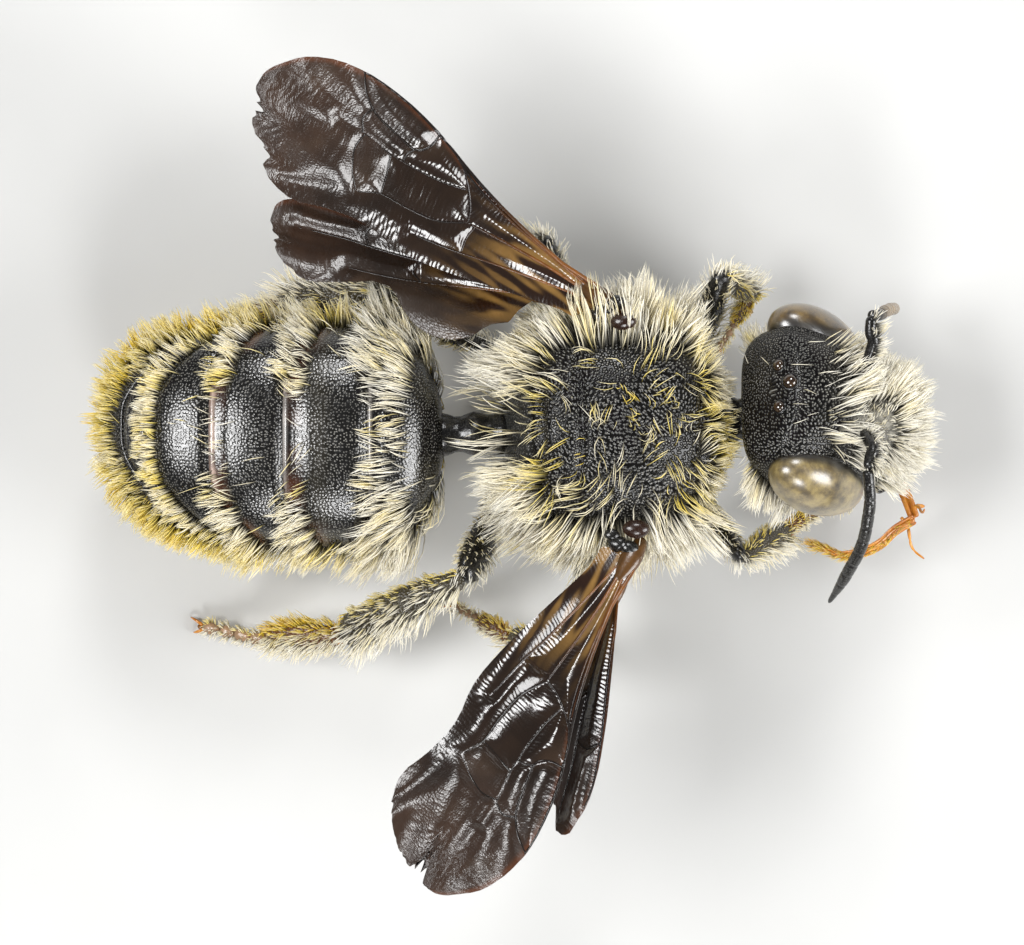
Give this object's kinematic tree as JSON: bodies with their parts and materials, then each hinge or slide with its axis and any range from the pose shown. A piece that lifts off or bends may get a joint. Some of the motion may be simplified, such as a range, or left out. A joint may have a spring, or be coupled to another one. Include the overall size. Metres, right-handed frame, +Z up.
{
  "type": "leafcutter bee",
  "caption": "Still model of a female leafcutter-type bee standing with half-open smoky wings and its tongue out; black shell, pale thorax hair, yellow-banded abdomen.",
  "frame": {"origin": "on the floor, below the middle of the whole bee's box, wings included", "axes": "+X is the bee's left, -Y is the way its head points, +Z is up"},
  "size_m": [0.0151, 0.0152, 0.0074],
  "materials": {
    "shell": "black pitted cuticle, glossy between the pits",
    "coat": "off-white to cream hair over black cuticle",
    "golden_coat": "golden yellow hair over dark cuticle",
    "eye": "smooth, mottled olive grey compound eye",
    "wing": "smoky brown membrane, glossy, amber at the base",
    "amber": "amber brown mouthparts"
  },
  "bodies": {
    "root": {"abdomen_1": "shell", "abdomen_2": "shell", "abdomen_3": "shell", "abdomen_4": "shell", "abdomen_5": "golden_coat", "abdomen_6": "golden_coat", "eye_left": "eye", "eye_right": "eye", "flagellum_left": "shell", "flagellum_right": "shell", "foreleg_left_coxa": "coat", "foreleg_left_femur": "coat", "foreleg_left_tarsus": "golden_coat", "foreleg_left_tibia": "coat", "foreleg_right_coxa": "coat", "foreleg_right_femur": "coat", "foreleg_right_tarsus": "golden_coat", "foreleg_right_tibia": "coat", "forewing_left": "wing", "forewing_right": "wing", "head": "coat", "hindleg_left_coxa": "coat", "hindleg_left_femur": "coat", "hindleg_left_tarsus": "golden_coat", "hindleg_left_tibia": "coat", "hindleg_right_coxa": "coat", "hindleg_right_femur": "coat", "hindleg_right_tarsus": "golden_coat", "hindleg_right_tibia": "coat", "hindwing_left": "wing", "hindwing_right": "wing", "mandible_left": "shell", "mandible_right": "shell", "midleg_left_coxa": "coat", "midleg_left_femur": "coat", "midleg_left_tarsus": "golden_coat", "midleg_left_tibia": "coat", "midleg_right_coxa": "coat", "midleg_right_femur": "coat", "midleg_right_tarsus": "golden_coat", "midleg_right_tibia": "coat", "neck": "shell", "palp_lower": "amber", "palp_upper": "amber", "proboscis": "amber", "scape_left": "shell", "scape_right": "shell", "tegula_left": "shell", "tegula_right": "shell", "thorax": "coat", "tongue": "amber", "waist": "shell"}
  },
  "joints": []
}
